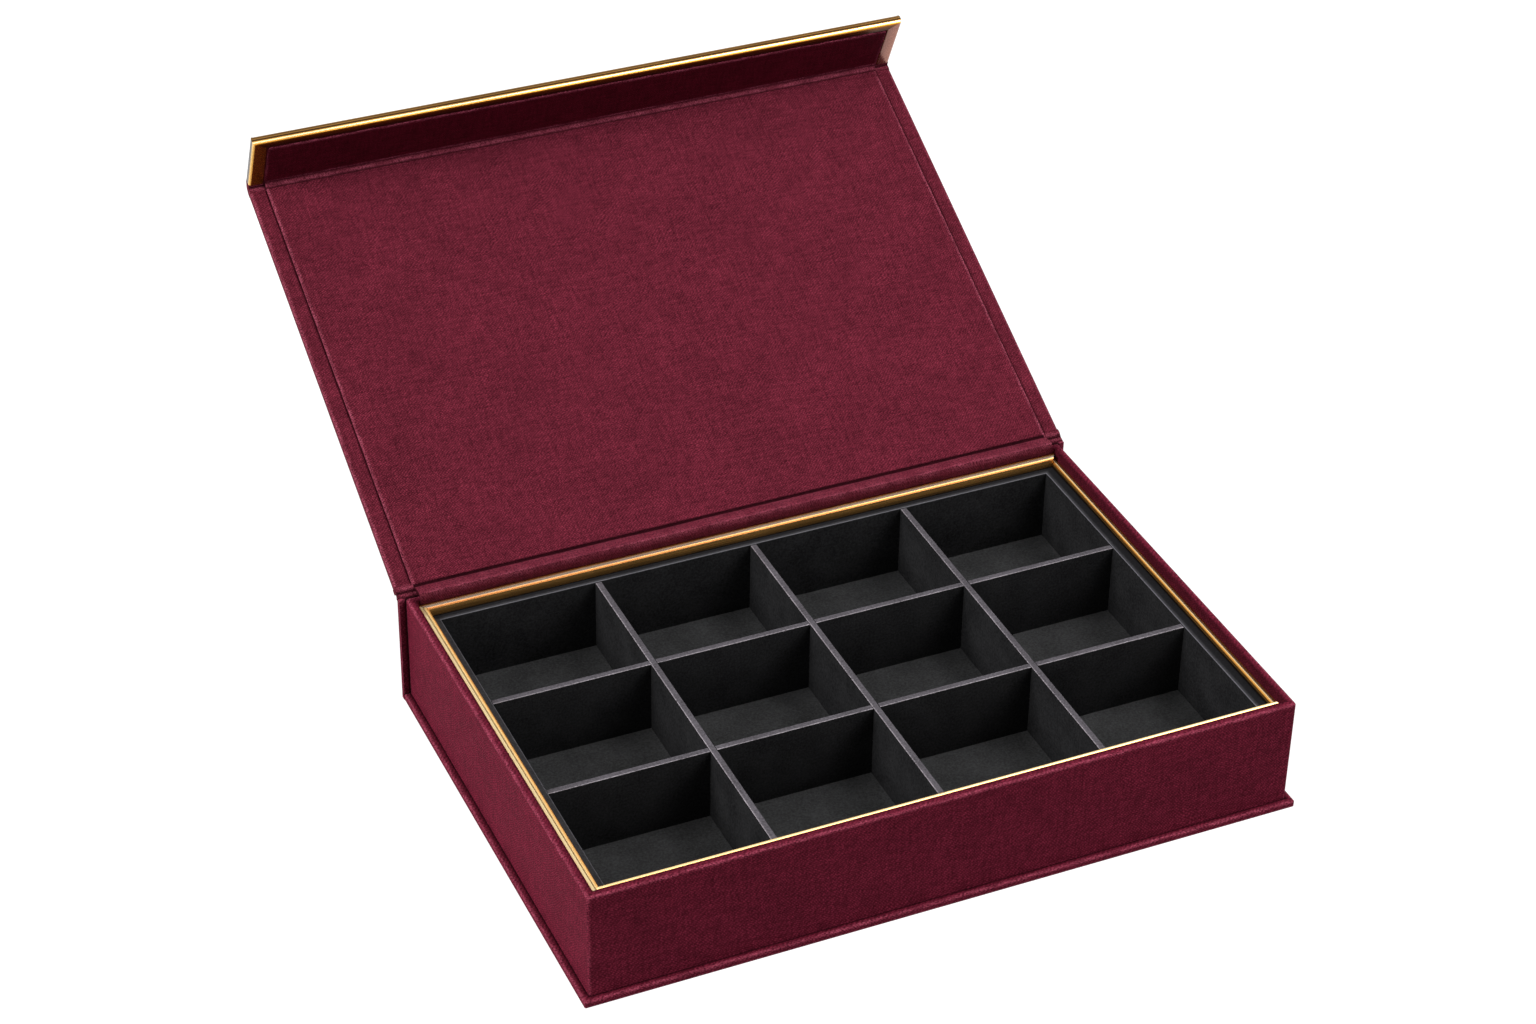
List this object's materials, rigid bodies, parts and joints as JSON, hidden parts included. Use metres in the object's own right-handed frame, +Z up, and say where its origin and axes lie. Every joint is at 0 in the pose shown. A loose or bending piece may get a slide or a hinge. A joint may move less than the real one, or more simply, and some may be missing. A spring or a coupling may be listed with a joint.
{
  "type": "chocolate box",
  "caption": "Book-style rigid box in book cloth: a fold-back lid with a hinged, brass-edged magnetic flap over a brass-framed insert of open cells.",
  "frame": {"origin": "centre of the flat underside of the base board, which the box rests on", "axes": "+Z up, +Y from the front of the tray towards the spine and the open lid, +X to the right as seen from the front"},
  "size_m": [0.2242, 0.2892, 0.1288],
  "materials": {
    "greyboard": "matte",
    "book_cloth": "matte",
    "liner_cloth": "matte",
    "brass": "polished",
    "insert_card": "matte",
    "divider_card": "matte",
    "lining_paper": "matte",
    "magnet": "satin",
    "steel_plate": "satin"
  },
  "bodies": {
    "tray": {"base_board": "greyboard", "spine_board": "greyboard", "tray_floor": "greyboard", "tray_wall_front": "greyboard", "tray_wall_back": "greyboard", "tray_wall_left": "greyboard", "tray_wall_right": "greyboard", "base_cloth": "book_cloth", "spine_cloth": "book_cloth", "tray_cloth": "book_cloth", "lid_hinge_cloth": "book_cloth", "lid_hinge_liner": "liner_cloth", "frame_front": "brass", "frame_right": "brass", "frame_back": "brass", "frame_left": "brass", "insert_floor": "insert_card", "insert_wall_front": "insert_card", "insert_wall_right": "insert_card", "insert_wall_back": "insert_card", "insert_wall_left": "insert_card", "divider_deep_1": "divider_card", "divider_deep_2": "divider_card", "divider_deep_3": "divider_card", "divider_wide_1": "divider_card", "divider_wide_2": "divider_card", "tray_floor_lining": "lining_paper", "catch_plate_left": "steel_plate", "catch_plate_right": "steel_plate"},
    "lid": {"lid_board": "greyboard", "lid_cloth": "book_cloth", "lid_liner": "liner_cloth", "flap_hinge_cloth": "book_cloth", "flap_hinge_liner": "liner_cloth"},
    "flap": {"flap_board": "greyboard", "flap_cloth": "book_cloth", "flap_liner": "liner_cloth", "flap_edging_long": "brass", "flap_edging_left": "brass", "flap_edging_right": "brass", "magnet_left": "magnet", "magnet_right": "magnet"}
  },
  "joints": [
    {"name": "lid_hinge", "type": "hinge", "parent": "tray", "child": "lid", "pos_m": [0, 0.0761, 0.0384], "axis": [-1, 0, 0], "range_deg": [-153, 27], "deforming": ["lid_hinge_cloth", "lid_hinge_liner"]},
    {"name": "flap_hinge", "type": "hinge", "parent": "lid", "child": "flap", "pos_m": [0, 0.21073, 0.107], "axis": [1, 0, 0], "range_deg": [-88, 2], "deforming": ["flap_hinge_cloth", "flap_hinge_liner"]}
  ]
}
